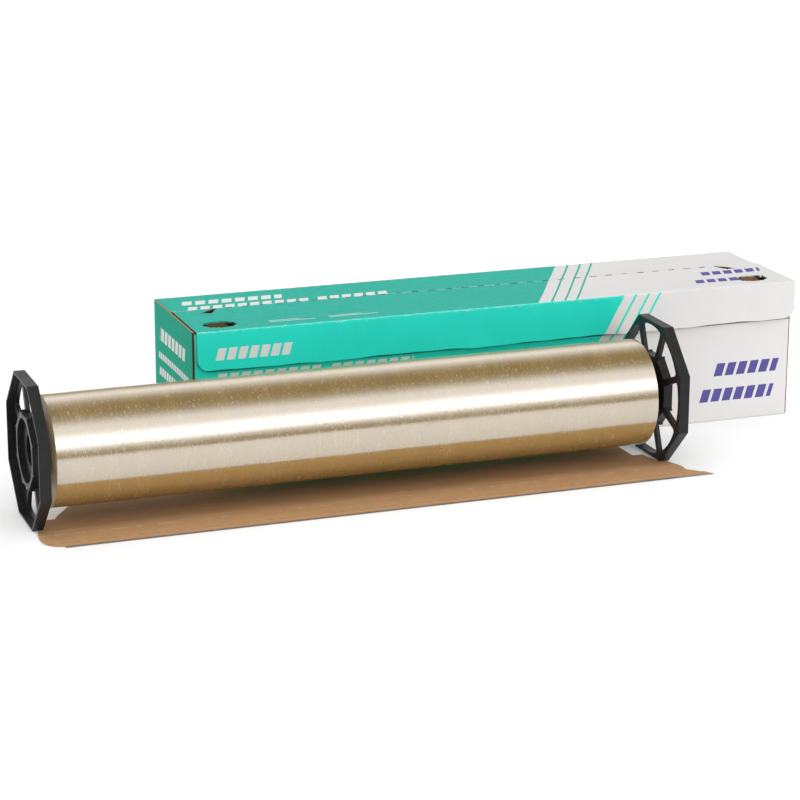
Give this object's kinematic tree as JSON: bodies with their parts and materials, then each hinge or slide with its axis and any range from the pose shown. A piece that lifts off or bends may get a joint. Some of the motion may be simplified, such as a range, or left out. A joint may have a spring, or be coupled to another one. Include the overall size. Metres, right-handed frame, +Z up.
{
  "type": "cling film dispenser",
  "caption": "Cling film dispenser: printed cutter carton with folding lid and tuck flap, film roll on octagonal spoked end caps, and a board insert with a serrated steel edge.",
  "frame": {"origin": "on the floor, in the middle of the footprint of the whole set", "axes": "+X along the film roll to its right-hand end, +Y from the cutter insert to the carton at the back, +Z up"},
  "size_m": [0.8594, 0.3156, 0.1485],
  "materials": {
    "carton_board": "printed teal green and off-white, semi-matte",
    "lid_board": "printed teal green and off-white, semi-matte",
    "kraft_board": "plain brown kraft, matte",
    "blade_steel": "bright steel with punched teeth",
    "film": "many wraps of clear film, glossy golden khaki",
    "core_board": "spiral-wound brown board",
    "cap_plastic": "moulded black, semi-matte"
  },
  "bodies": {
    "carton": {"carton_floor": "carton_board", "carton_front_wall": "carton_board", "carton_rear_wall": "carton_board", "carton_left_end": "carton_board", "carton_right_end": "carton_board"},
    "lid_rear": {"lid_rear_panel": "lid_board"},
    "lid_front": {"lid_front_panel": "lid_board"},
    "front_flap": {"lid_front_flap": "lid_board"},
    "insert": {"insert_front_panel": "kraft_board", "insert_left_ear": "kraft_board", "insert_right_ear": "kraft_board", "cutter_blade": "blade_steel"},
    "insert_rear": {"insert_rear_panel": "kraft_board"},
    "left_cap": {"left_cap_wheel": "cap_plastic", "left_cap_spigot": "cap_plastic"},
    "roll": {"film_roll": "film", "roll_core": "core_board"},
    "right_cap": {"right_cap_wheel": "cap_plastic", "right_cap_spigot": "cap_plastic"}
  },
  "joints": [
    {"name": "lid_hinge", "type": "hinge", "parent": "carton", "child": "lid_rear", "pos_m": [0.094, 0.1578, 0.1485], "axis": [-1, 0, 0], "range_deg": [0, 110]},
    {"name": "lid_fold", "type": "hinge", "parent": "lid_rear", "child": "lid_front", "pos_m": [0.094, 0.0985, 0.1485], "axis": [-1, 0, 0], "range_deg": [0, 110]},
    {"name": "flap_fold", "type": "hinge", "parent": "lid_front", "child": "front_flap", "pos_m": [0.0973, 0.0101, 0.1485], "axis": [-1, 0, 0], "range_deg": [0, 90]},
    {"name": "insert_draw", "type": "slide", "parent": "carton", "child": "insert", "axis": [0, -1, 0], "range_m": [0, 0.15]},
    {"name": "insert_crease", "type": "hinge", "parent": "insert", "child": "insert_rear", "pos_m": [-0.09875, -0.0718, 0.001], "axis": [1, 0, 0], "range_deg": [0, 33]},
    {"name": "roll_lift", "type": "slide", "parent": "carton", "child": "left_cap", "axis": [0, 0, 1], "range_m": [0, 0.16]},
    {"name": "roll_spin", "type": "hinge", "parent": "left_cap", "child": "roll", "pos_m": [-0.1015, -0.0718, 0.06825], "axis": [1, 0, 0], "continuous": true},
    {"name": "right_cap_pull", "type": "slide", "parent": "left_cap", "child": "right_cap", "axis": [1, 0, 0], "range_m": [0, 0.045]}
  ]
}
